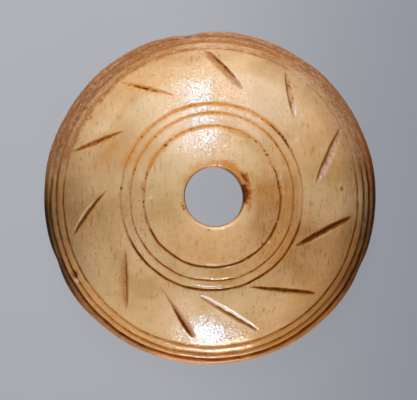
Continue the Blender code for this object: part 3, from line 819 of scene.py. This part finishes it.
def boneMaterial():
    material = bpy.data.materials.new("polishedBone")
    bone = Nodes(material)
    place = bone.add("ShaderNodeTexCoord").outputs["Object"]
    even, grain = (bone.add("ShaderNodeMapping", Vector=place, Scale=boneStretch[name]).outputs[0]
                   for name in ("even", "grain"))

    # noises shared by what follows
    crumb = bone.noise(even, "crumb")
    blotch = bone.noise(even, "blotch")
    weather, paleAndGlint, stain, grimeAndShade, shadeAndDarkBone, paintedRimShade, crumble, matte, fairBoneAndSheen, rust = (
        bone.mark(name) for name in ("weather", "paleAndGlint", "ochre", "grimeAndShade", "shadeAndDarkBone", "paintedRimShade",
                                     "crumble", "matte", "fairBoneAndSheen", "rust"))
    # coordinates that stretch a noise round the rim: 16 mm out along each bearing, and as height twice the
    # distance from the axis less one and a half times the height
    flat = bone.sum3("MULTIPLY", even, (1, 1, 0))
    ringward = bone.sum3("SCALE", bone.sum3("NORMALIZE", flat), 16.0)
    reach = bone.add("ShaderNodeCombineXYZ", Z=bone.times(bone.sum3("LENGTH", flat), 2.0)).outputs[0]
    reach = bone.sum3("ADD", reach, bone.sum3("MULTIPLY", even, (0, 0, -1.5)))
    flecks = bone.noise(bone.sum3("ADD", ringward, reach), "flecks")

    # bone tones: broad clouds, then fibres and dashes along Y, and small brown dots
    bone.lay(bone.range(bone.noise(even, "cloud"), *boneStep["cloud"]), "tan")
    for tone in ("olive", "rose"):
        patch = bone.range(bone.noise(even, tone), *boneStep[tone])
        bone.lay(bone.times(patch, boneShare[tone]), tone)
    # fair bone with painted sheen and glow
    bone.lay(fairBoneAndSheen, "ivory")
    # painted shade with darker bone
    bone.lay(shadeAndDarkBone, "shadeAndDarkBone", "MULTIPLY")
    fibre = bone.range(bone.noise(grain, "fibre"), *boneStep["fibre"])
    bone.lay(bone.times(fibre, boneShare["fibre"]), "olive")
    where = bone.sum("MULTIPLY_ADD", shadeAndDarkBone, 0.08, bone.range(blotch, 0.3, 0.7, -0.06, 0.04))
    where = bone.sum("MULTIPLY_ADD", fairBoneAndSheen, -0.05, where)
    for mark, field in (("dashes", grain), ("dots", even)):
        found = bone.plus(bone.noise(field, mark), where)
        bone.lay(bone.range(found, *boneStep[mark], 0.0, boneShare[mark]), "brown")

    # the marks laid on the surface; adding noise before a step breaks up their edges
    rubbed = bone.sum("MULTIPLY_ADD", bone.swing(flecks, 0.38), weather, weather, clamp=True)
    bone.lay(rubbed, "weather")
    chipped = bone.times(crumble, bone.range(flecks, 0.44, 0.30, 0.0, 0.17))
    bone.lay(chipped, "paleAndGlint")
    pitted = bone.times(crumble, bone.range(flecks, 0.52, 0.70, 0.0, 0.68))
    bone.lay(pitted, "brown")
    # pale scuffs, and the painted highlights on lit nick walls and the painted sheen
    scuffAndGlint = bone.times(paleAndGlint, bone.range(crumb, 0.35, 0.55, 0.45, 1.0))
    bone.lay(scuffAndGlint, "paleAndGlint")
    patchy = bone.plus(bone.swing(blotch, 0.38), bone.swing(crumb, 0.32))
    rusty = bone.sum("MULTIPLY_ADD", patchy, stain, stain, clamp=True)
    bone.lay(bone.times(rusty, boneShare["stain"]), "ochre")
    # dirt, with painted shade in the nicks and at the rim's left and right edge
    uneven = bone.plus(bone.swing(crumb, 0.13), bone.swing(blotch, 0.08))
    dirtAndShadeLevel = bone.sum("MULTIPLY_ADD", uneven, bone.range(grimeAndShade, 0.0, 0.3), grimeAndShade)
    bone.lay(bone.range(dirtAndShadeLevel, *boneStep["dirtAndShade"]), "brown")
    bone.lay(bone.range(dirtAndShadeLevel, *boneStep["deepDirtAndShade"]), "dark")
    # painted shade at the rim's edge, then the redder cast
    bone.lay(paintedRimShade, "paintedRimShade", "MULTIPLY")
    bone.lay(rust, "rust", "MULTIPLY")
    bone.feed(bone.shader.inputs["Base Color"], bone.colour)

    # polish: a satin ground under a glossier skin, dull where worn or dirty
    dull = bone.sum("MAXIMUM", bone.times(weather, 0.8), grimeAndShade)
    dull = bone.sum("MAXIMUM", dull, bone.times(matte, 0.5))
    gloss = bone.range(bone.noise(even, "gloss"), 0.3, 0.7, -0.04, 0.06)
    rough = bone.plus(bone.range(dull, 0.0, 1.0, boneRough["clean"], boneRough["dull"]), gloss)
    bone.feed(bone.shader.inputs["Roughness"], rough)
    skin = bone.range(bone.noise(even, "skin"), *boneStep["skin"], 1.0, 0.22)
    coat = bone.times(skin, bone.range(dull, 0.05, 0.5, 1.0, 0.0))
    bone.feed(bone.shader.inputs["Coat Weight"], coat)

    # fine relief: waves and fibres under the polish, small sharp pits, and crumbs on the rim
    waves = bone.times(bone.noise(even, "waves"), boneRelief["waves"])
    ridges = bone.times(bone.noise(grain, "ridges"), boneRelief["ridges"])
    pits = bone.times(bone.range(bone.noise(even, "pits"), *boneStep["pits"]), boneRelief["pits"])
    crumbs = bone.times(bone.times(crumble, flecks), boneRelief["crumbs"])
    relief = bone.plus(bone.plus(waves, ridges), bone.plus(pits, crumbs))
    bump = bone.add("ShaderNodeBump", Height=relief, Distance=mm, Strength=1.0)
    bone.feed(bone.shader.inputs["Normal"], bump.outputs[0])
    bone.feed(bone.shader.inputs["Coat Normal"], bump.outputs[0])

    for socket, value in boneFinish.items():
        bone.shader.inputs[socket].default_value = value
    return material


whorl.data.materials.append(boneMaterial())
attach(whorl, "root")
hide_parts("whorl")
print("bone finish done")


# a plain pale table that glows evenly, so no hard shadow falls round the disc; it darkens to the right.
# drop keeps it just under the disc
table = {"size": 2.4, "drop": 0.00004, "colour": (0.03, 0.03, 0.03, 1), "roughness": 0.9, "shine": 0.1,
         "left": (0.387, 0.396, 0.422, 1), "right": (0.250, 0.258, 0.293, 1), "fall": (-0.008, 0.026),
         "rise": (-0.02, 0.02, 0.95, 1.05)}


def tableTop():
    mesh = bpy.data.meshes.new("tableTop")
    half, low = table["size"] / 2, -table["drop"]
    corners = [(-half, -half, low), (half, -half, low), (half, half, low), (-half, half, low)]
    mesh.from_pydata(corners, [], [(0, 1, 2, 3)])
    top = bpy.data.objects.new("tableTop", mesh)
    bpy.context.collection.objects.link(top)
    material = bpy.data.materials.new("paleTable")
    paper = Nodes(material)
    place = paper.add("ShaderNodeTexCoord").outputs["Object"]
    place = paper.add("ShaderNodeSeparateXYZ", Vector=place).outputs
    fall = paper.range(place["X"], *table["fall"])
    fall.node.interpolation_type = "SMOOTHSTEP"
    glow = paper.mix(fall, table["left"], table["right"])
    rise = paper.range(place["Y"], *table["rise"])
    for name, value in (("Base Color", table["colour"]), ("Roughness", table["roughness"]),
                        ("Specular IOR Level", table["shine"]),
                        ("Emission Color", glow), ("Emission Strength", rise)):
        paper.feed(paper.shader.inputs[name], value)
    mesh.materials.append(material)


tableTop()

# soft lamps: azimuth and zenith in degrees as seen from the disc, sides in metres, and the same distance
# unless a lamp has its own; they aim a little above the table
mild = (1.00, 0.915, 0.88)
lamps = {
    "softboxAbove": {"azimuth": 95, "zenith": 47, "sides": (0.076, 0.27), "power": 0.92,
                     "tone": (0.30, 0.87, 1.38)},
    "spillAbove": {"azimuth": 93, "zenith": 50, "sides": (0.34, 0.42), "power": 1.53,
                   "tone": (1.235, 0.94, 0.82)},
    "softboxBelow": {"azimuth": 270.5, "zenith": 73.5, "sides": (0.080, 0.050), "power": 0.48,
                     "tone": (0.46, 1.0, 1.62)},
    "spillBelow": {"azimuth": 272, "zenith": 68, "sides": (0.22, 0.14), "power": 0.30, "tone": mild},
    "lowBelow": {"azimuth": 275, "zenith": 88, "sides": (0.16, 0.10), "power": 1.60, "tone": mild},
    "wideBelow": {"azimuth": 240, "zenith": 63, "sides": (0.60, 0.35), "power": 0.12, "tone": mild,
                  "distance": 0.50},
}
studio = {"distance": 0.42, "aim": (0, 0, 0.004), "air": (0.60, 0.62, 0.66, 1), "airStrength": 0.06}
for name, lamp in lamps.items():
    light = bpy.data.lights.new(name, "AREA")
    light.shape = "RECTANGLE"
    light.size, light.size_y = lamp["sides"]
    light.energy = lamp["power"]
    light.color = lamp["tone"]
    holder = bpy.data.objects.new(name, light)
    turn, lean = math.radians(lamp["azimuth"]), math.radians(lamp["zenith"])
    way = Vector((math.cos(turn) * math.sin(lean), math.sin(turn) * math.sin(lean), math.cos(lean)))
    holder.location = way * lamp.get("distance", studio["distance"]) + Vector(studio["aim"])
    holder.rotation_euler = way.to_track_quat("Z", "Y").to_euler()
    bpy.context.collection.objects.link(holder)
world = bpy.data.worlds.new("studio")
world.use_nodes = True
world.node_tree.nodes["Background"].inputs["Color"].default_value = studio["air"]
world.node_tree.nodes["Background"].inputs["Strength"].default_value = studio["airStrength"]
bpy.context.scene.world = world
bpy.context.scene.view_settings.view_transform = "Standard"
print("table and lamps set")

# the view: almost straight down, leaning a little to the left and towards the viewer
view = {
    "imageWidth": 417, "focalPixels": 4000, "distance": 0.400, "sensor": 36, "near": 0.01,
    "aim": (-0.00013, -0.00021, 0.0017), "from": (-0.0361, -0.0192, 1.0),
}
camera = bpy.data.cameras.new("camera")
camera.sensor_width = view["sensor"]
camera.lens = view["sensor"] * view["focalPixels"] / view["imageWidth"]
camera.clip_start = view["near"]
way = Vector(view["from"]).normalized()
cameraObject = bpy.data.objects.new("camera", camera)
cameraObject.location = Vector(view["aim"]) + way * view["distance"]
sideways = Vector((0, 1, 0)).cross(way).normalized()
cameraObject.rotation_euler = Matrix((sideways, way.cross(sideways), way)).transposed().to_euler()
bpy.context.collection.objects.link(cameraObject)
bpy.context.scene.camera = cameraObject
print("camera set")
